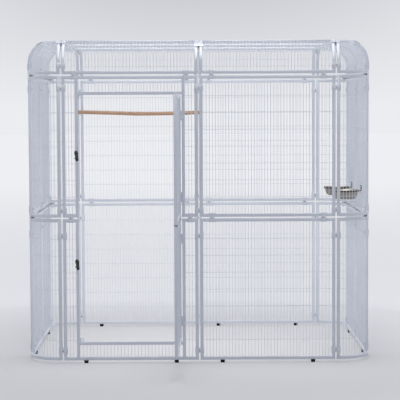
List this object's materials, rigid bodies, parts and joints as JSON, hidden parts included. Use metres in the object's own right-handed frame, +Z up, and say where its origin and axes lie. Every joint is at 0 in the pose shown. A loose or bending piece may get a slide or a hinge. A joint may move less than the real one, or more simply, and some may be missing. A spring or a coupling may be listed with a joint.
{
  "type": "floor bird cage",
  "caption": "Walk-in floor bird cage of bolted welded-wire panels with rounded corners and roof edges, a tall hinged door, turn latches, a wooden perch and steel bowls.",
  "frame": {"origin": "On the floor, under the middle of the whole outline with the door standing open.", "axes": "+X is to the right when one faces the door side, +Y goes from the door side to the back, +Z is up."},
  "size_m": [2.178, 2.2314, 2.032],
  "materials": {
    "frame_coat": "pale grey powder coat over steel tube and wire",
    "latch_black": "black enamelled steel",
    "foot_rubber": "black rubber",
    "perch_wood": "natural branch with thin brown bark",
    "bolt_steel": "bright zinc-plated steel",
    "bowl_steel": "spun stainless steel",
    "holder_black": "black enamelled steel wire and plate"
  },
  "bodies": {
    "cage": {"front_right_lower_panel": "frame_coat", "front_right_upper_panel": "frame_coat", "front_clamp_plates": "frame_coat", "right_front_lower_panel": "frame_coat", "right_front_upper_panel": "frame_coat", "right_back_lower_panel": "frame_coat", "right_back_upper_panel": "frame_coat", "right_clamp_plates": "frame_coat", "back_right_lower_panel": "frame_coat", "back_right_upper_panel": "frame_coat", "back_left_lower_panel": "frame_coat", "back_left_upper_panel": "frame_coat", "back_clamp_plates": "frame_coat", "left_back_lower_panel": "frame_coat", "left_back_upper_panel": "frame_coat", "left_front_lower_panel": "frame_coat", "left_front_upper_panel": "frame_coat", "left_clamp_plates": "frame_coat", "roof_long_edges": "frame_coat", "roof_short_edges": "frame_coat", "door_bay_lower_panel": "frame_coat", "door_bay_upper_panel": "frame_coat", "front_lower_corners": "frame_coat", "front_upper_corners": "frame_coat", "roof_front_corners": "frame_coat", "back_lower_corners": "frame_coat", "back_upper_corners": "frame_coat", "roof_back_corners": "frame_coat", "corner_clamp_plates": "frame_coat", "roof_top_front_left_panel": "frame_coat", "roof_top_back_left_panel": "frame_coat", "roof_top_front_right_panel": "frame_coat", "roof_top_back_right_panel": "frame_coat", "roof_clamp_plates": "frame_coat", "lower_latch_base": "latch_black", "upper_latch_base": "latch_black", "door_stops": "frame_coat", "jamb_plates": "frame_coat", "rubber_feet": "foot_rubber", "perch": "perch_wood", "perch_bolts": "bolt_steel", "front_bowl_hoop": "holder_black", "front_bowl_clamp": "holder_black", "back_bowl_hoop": "holder_black", "back_bowl_clamp": "holder_black"},
    "door": {"door_leaf_lower_panel": "frame_coat", "door_leaf_upper_panel": "frame_coat", "door_clamp_plates": "frame_coat", "door_keepers": "frame_coat"},
    "lower_latch": {"lower_latch_bar": "latch_black"},
    "upper_latch": {"upper_latch_bar": "latch_black"},
    "front_bowl": {"front_bowl": "bowl_steel"},
    "back_bowl": {"back_bowl": "bowl_steel"}
  },
  "joints": [
    {"name": "door_hinge", "type": "hinge", "parent": "cage", "child": "door", "pos_m": [-0.10825, -0.4743, 0.915], "axis": [0, 0, 1], "range_deg": [-88.5, 85]},
    {"name": "lower_latch_turn", "type": "hinge", "parent": "cage", "child": "lower_latch", "pos_m": [-0.7635, -0.4823, 0.625], "axis": [0, 1, 0], "range_deg": [-82, 98]},
    {"name": "upper_latch_turn", "type": "hinge", "parent": "cage", "child": "upper_latch", "pos_m": [-0.7635, -0.4823, 1.307], "axis": [0, 1, 0], "range_deg": [-82, 98]},
    {"name": "front_bowl_lift", "type": "slide", "parent": "cage", "child": "front_bowl", "axis": [0, 0, 1], "range_m": [0, 0.06]},
    {"name": "back_bowl_lift", "type": "slide", "parent": "cage", "child": "back_bowl", "axis": [0, 0, 1], "range_m": [0, 0.06]}
  ]
}
